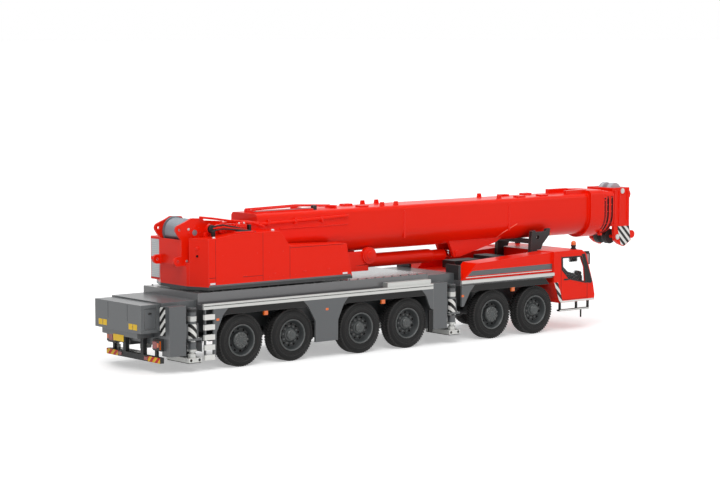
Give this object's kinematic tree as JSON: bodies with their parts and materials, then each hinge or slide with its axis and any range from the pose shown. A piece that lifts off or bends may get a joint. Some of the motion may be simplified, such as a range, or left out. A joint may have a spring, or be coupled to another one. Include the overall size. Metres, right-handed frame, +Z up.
{
  "type": "scale model mobile crane",
  "caption": "Die-cast scale model of an all-terrain mobile crane with a slewing superstructure, telescopic boom, outriggers and steered axles.",
  "frame": {"origin": "middle of the length and width, on the ground under the tyres", "axes": "+X forward, +Y to the driver's left, +Z up"},
  "size_m": [0.3662, 0.06, 0.0822],
  "materials": {
    "red_paint": "gloss",
    "grey_paint": "satin",
    "dark_paint": "satin",
    "black_plastic": "matt",
    "bare_alloy": "satin",
    "tyre_rubber": "matt",
    "clear_glass": "clear",
    "amber_plastic": "gloss",
    "bright_chrome": "polished"
  },
  "bodies": {
    "carrier": {"chassis_frame": "grey_paint", "axle_beams": "dark_paint", "deck": "dark_paint", "sill_edges": "bare_alloy", "mudguards": "black_plastic", "side_panels": "grey_paint", "outrigger_boxes": "grey_paint", "stowage_box": "grey_paint", "underrun_bar": "dark_paint", "engine_cover": "red_paint", "deck_equipment": "dark_paint", "driver_cab": "red_paint", "cab_glass": "clear_glass", "cab_fittings": "black_plastic", "lamps": "amber_plastic"},
    "upper": {"turntable": "red_paint", "machine_housing": "red_paint"},
    "operator_cab": {"crane_cab": "red_paint", "crane_cab_glass": "clear_glass"},
    "winch": {"winch_drum": "grey_paint"},
    "boom": {"boom_base": "red_paint"},
    "section_1": {"tele_1": "red_paint"},
    "section_2": {"tele_2": "red_paint"},
    "section_3": {"tele_3": "red_paint"},
    "section_4": {"tele_4": "red_paint", "boom_head": "red_paint"},
    "cylinder": {"cylinder_barrel": "red_paint"},
    "rod": {"cylinder_rod": "bright_chrome"},
    "knuckle_1_right": {"knuckle_1_right": "dark_paint"},
    "wheel_1_right": {"wheel_1_right": "tyre_rubber"},
    "knuckle_1_left": {"knuckle_1_left": "dark_paint"},
    "wheel_1_left": {"wheel_1_left": "tyre_rubber"},
    "knuckle_2_right": {"knuckle_2_right": "dark_paint"},
    "wheel_2_right": {"wheel_2_right": "tyre_rubber"},
    "knuckle_2_left": {"knuckle_2_left": "dark_paint"},
    "wheel_2_left": {"wheel_2_left": "tyre_rubber"},
    "knuckle_3_right": {"knuckle_3_right": "dark_paint"},
    "wheel_3_right": {"wheel_3_right": "tyre_rubber"},
    "knuckle_3_left": {"knuckle_3_left": "dark_paint"},
    "wheel_3_left": {"wheel_3_left": "tyre_rubber"},
    "knuckle_4_right": {"knuckle_4_right": "dark_paint"},
    "wheel_4_right": {"wheel_4_right": "tyre_rubber"},
    "knuckle_4_left": {"knuckle_4_left": "dark_paint"},
    "wheel_4_left": {"wheel_4_left": "tyre_rubber"},
    "knuckle_5_right": {"knuckle_5_right": "dark_paint"},
    "wheel_5_right": {"wheel_5_right": "tyre_rubber"},
    "knuckle_5_left": {"knuckle_5_left": "dark_paint"},
    "wheel_5_left": {"wheel_5_left": "tyre_rubber"},
    "knuckle_6_right": {"knuckle_6_right": "dark_paint"},
    "wheel_6_right": {"wheel_6_right": "tyre_rubber"},
    "knuckle_6_left": {"knuckle_6_left": "dark_paint"},
    "wheel_6_left": {"wheel_6_left": "tyre_rubber"},
    "beam_rear_right": {"beam_rear_right": "grey_paint"},
    "foot_rear_right": {"foot_rear_right": "bare_alloy"},
    "beam_rear_left": {"beam_rear_left": "grey_paint"},
    "foot_rear_left": {"foot_rear_left": "bare_alloy"},
    "beam_front_right": {"beam_front_right": "grey_paint"},
    "foot_front_right": {"foot_front_right": "bare_alloy"},
    "beam_front_left": {"beam_front_left": "grey_paint"},
    "foot_front_left": {"foot_front_left": "bare_alloy"}
  },
  "joints": [
    {"name": "slew", "type": "hinge", "parent": "carrier", "child": "upper", "pos_m": [-0.07195, 0, 0.0405], "axis": [0, 0, 1], "continuous": true},
    {"name": "luff", "type": "hinge", "parent": "upper", "child": "boom", "pos_m": [-0.11095, 0, 0.0655], "axis": [0, -1, 0], "range_deg": [0, 80]},
    {"name": "cylinder_swing", "type": "hinge", "parent": "upper", "child": "cylinder", "pos_m": [-0.06595, 0, 0.0465], "axis": [0, -1, 0], "range_deg": [0, 90]},
    {"name": "rod_slide", "type": "slide", "parent": "cylinder", "child": "rod", "axis": [1, 0, 0], "range_m": [0, 0.06]},
    {"name": "winch_spin", "type": "hinge", "parent": "upper", "child": "winch", "pos_m": [-0.14195, 0, 0.0694], "axis": [0, 1, 0], "continuous": true},
    {"name": "cab_tilt", "type": "hinge", "parent": "upper", "child": "operator_cab", "pos_m": [-0.09565, 0.0192, 0.0441], "axis": [0, -1, 0], "range_deg": [0, 20]},
    {"name": "extend_1", "type": "slide", "parent": "boom", "child": "section_1", "axis": [1, 0, 0], "range_m": [0, 0.2]},
    {"name": "extend_2", "type": "slide", "parent": "section_1", "child": "section_2", "axis": [1, 0, 0], "range_m": [0, 0.2]},
    {"name": "extend_3", "type": "slide", "parent": "section_2", "child": "section_3", "axis": [1, 0, 0], "range_m": [0, 0.2]},
    {"name": "extend_4", "type": "slide", "parent": "section_3", "child": "section_4", "axis": [1, 0, 0], "range_m": [0, 0.2]},
    {"name": "steer_1_right", "type": "hinge", "parent": "carrier", "child": "knuckle_1_right", "pos_m": [-0.12595, -0.019, 0.01385], "axis": [0, 0, -1], "range_deg": [-15, 15]},
    {"name": "roll_1_right", "type": "hinge", "parent": "knuckle_1_right", "child": "wheel_1_right", "pos_m": [-0.12595, -0.0256, 0.01385], "axis": [0, 1, 0], "continuous": true},
    {"name": "steer_1_left", "type": "hinge", "parent": "carrier", "child": "knuckle_1_left", "pos_m": [-0.12595, 0.019, 0.01385], "axis": [0, 0, -1], "range_deg": [-15, 15]},
    {"name": "roll_1_left", "type": "hinge", "parent": "knuckle_1_left", "child": "wheel_1_left", "pos_m": [-0.12595, 0.0256, 0.01385], "axis": [0, 1, 0], "continuous": true},
    {"name": "steer_2_right", "type": "hinge", "parent": "carrier", "child": "knuckle_2_right", "pos_m": [-0.09295, -0.019, 0.01385], "axis": [0, 0, -1], "range_deg": [-15, 15]},
    {"name": "roll_2_right", "type": "hinge", "parent": "knuckle_2_right", "child": "wheel_2_right", "pos_m": [-0.09295, -0.0256, 0.01385], "axis": [0, 1, 0], "continuous": true},
    {"name": "steer_2_left", "type": "hinge", "parent": "carrier", "child": "knuckle_2_left", "pos_m": [-0.09295, 0.019, 0.01385], "axis": [0, 0, -1], "range_deg": [-15, 15]},
    {"name": "roll_2_left", "type": "hinge", "parent": "knuckle_2_left", "child": "wheel_2_left", "pos_m": [-0.09295, 0.0256, 0.01385], "axis": [0, 1, 0], "continuous": true},
    {"name": "steer_3_right", "type": "hinge", "parent": "carrier", "child": "knuckle_3_right", "pos_m": [-0.04665, -0.019, 0.01385], "axis": [0, 0, 1], "range_deg": [-15, 15]},
    {"name": "roll_3_right", "type": "hinge", "parent": "knuckle_3_right", "child": "wheel_3_right", "pos_m": [-0.04665, -0.0256, 0.01385], "axis": [0, 1, 0], "continuous": true},
    {"name": "steer_3_left", "type": "hinge", "parent": "carrier", "child": "knuckle_3_left", "pos_m": [-0.04665, 0.019, 0.01385], "axis": [0, 0, 1], "range_deg": [-15, 15]},
    {"name": "roll_3_left", "type": "hinge", "parent": "knuckle_3_left", "child": "wheel_3_left", "pos_m": [-0.04665, 0.0256, 0.01385], "axis": [0, 1, 0], "continuous": true},
    {"name": "steer_4_right", "type": "hinge", "parent": "carrier", "child": "knuckle_4_right", "pos_m": [-0.01365, -0.019, 0.01385], "axis": [0, 0, 1], "range_deg": [-15, 15]},
    {"name": "roll_4_right", "type": "hinge", "parent": "knuckle_4_right", "child": "wheel_4_right", "pos_m": [-0.01365, -0.0256, 0.01385], "axis": [0, 1, 0], "continuous": true},
    {"name": "steer_4_left", "type": "hinge", "parent": "carrier", "child": "knuckle_4_left", "pos_m": [-0.01365, 0.019, 0.01385], "axis": [0, 0, 1], "range_deg": [-15, 15]},
    {"name": "roll_4_left", "type": "hinge", "parent": "knuckle_4_left", "child": "wheel_4_left", "pos_m": [-0.01365, 0.0256, 0.01385], "axis": [0, 1, 0], "continuous": true},
    {"name": "steer_5_right", "type": "hinge", "parent": "carrier", "child": "knuckle_5_right", "pos_m": [0.04915, -0.019, 0.01385], "axis": [0, 0, 1], "range_deg": [-15, 15]},
    {"name": "roll_5_right", "type": "hinge", "parent": "knuckle_5_right", "child": "wheel_5_right", "pos_m": [0.04915, -0.0256, 0.01385], "axis": [0, 1, 0], "continuous": true},
    {"name": "steer_5_left", "type": "hinge", "parent": "carrier", "child": "knuckle_5_left", "pos_m": [0.04915, 0.019, 0.01385], "axis": [0, 0, 1], "range_deg": [-15, 15]},
    {"name": "roll_5_left", "type": "hinge", "parent": "knuckle_5_left", "child": "wheel_5_left", "pos_m": [0.04915, 0.0256, 0.01385], "axis": [0, 1, 0], "continuous": true},
    {"name": "steer_6_right", "type": "hinge", "parent": "carrier", "child": "knuckle_6_right", "pos_m": [0.08215, -0.019, 0.01385], "axis": [0, 0, 1], "range_deg": [-15, 15]},
    {"name": "roll_6_right", "type": "hinge", "parent": "knuckle_6_right", "child": "wheel_6_right", "pos_m": [0.08215, -0.0256, 0.01385], "axis": [0, 1, 0], "continuous": true},
    {"name": "steer_6_left", "type": "hinge", "parent": "carrier", "child": "knuckle_6_left", "pos_m": [0.08215, 0.019, 0.01385], "axis": [0, 0, 1], "range_deg": [-15, 15]},
    {"name": "roll_6_left", "type": "hinge", "parent": "knuckle_6_left", "child": "wheel_6_left", "pos_m": [0.08215, 0.0256, 0.01385], "axis": [0, 1, 0], "continuous": true},
    {"name": "outrigger_rear_right", "type": "slide", "parent": "carrier", "child": "beam_rear_right", "axis": [0, -1, 0], "range_m": [0, 0.035]},
    {"name": "jack_rear_right", "type": "slide", "parent": "beam_rear_right", "child": "foot_rear_right", "axis": [0, 0, -1], "range_m": [0, 0.0048]},
    {"name": "outrigger_rear_left", "type": "slide", "parent": "carrier", "child": "beam_rear_left", "axis": [0, 1, 0], "range_m": [0, 0.035]},
    {"name": "jack_rear_left", "type": "slide", "parent": "beam_rear_left", "child": "foot_rear_left", "axis": [0, 0, -1], "range_m": [0, 0.0048]},
    {"name": "outrigger_front_right", "type": "slide", "parent": "carrier", "child": "beam_front_right", "axis": [0, -1, 0], "range_m": [0, 0.035]},
    {"name": "jack_front_right", "type": "slide", "parent": "beam_front_right", "child": "foot_front_right", "axis": [0, 0, -1], "range_m": [0, 0.0048]},
    {"name": "outrigger_front_left", "type": "slide", "parent": "carrier", "child": "beam_front_left", "axis": [0, 1, 0], "range_m": [0, 0.035]},
    {"name": "jack_front_left", "type": "slide", "parent": "beam_front_left", "child": "foot_front_left", "axis": [0, 0, -1], "range_m": [0, 0.0048]}
  ],
  "couplings": [
    {"joint": "cylinder_swing", "follows": "luff", "ratio": 1.1212},
    {"joint": "rod_slide", "follows": "luff", "m_per_rad": 0.041943},
    {"joint": "steer_1_right", "follows": "steer_1_left", "ratio": 1},
    {"joint": "steer_2_right", "follows": "steer_2_left", "ratio": 1},
    {"joint": "steer_3_right", "follows": "steer_3_left", "ratio": 1},
    {"joint": "steer_4_right", "follows": "steer_4_left", "ratio": 1},
    {"joint": "steer_5_right", "follows": "steer_5_left", "ratio": 1},
    {"joint": "steer_6_right", "follows": "steer_6_left", "ratio": 1}
  ]
}
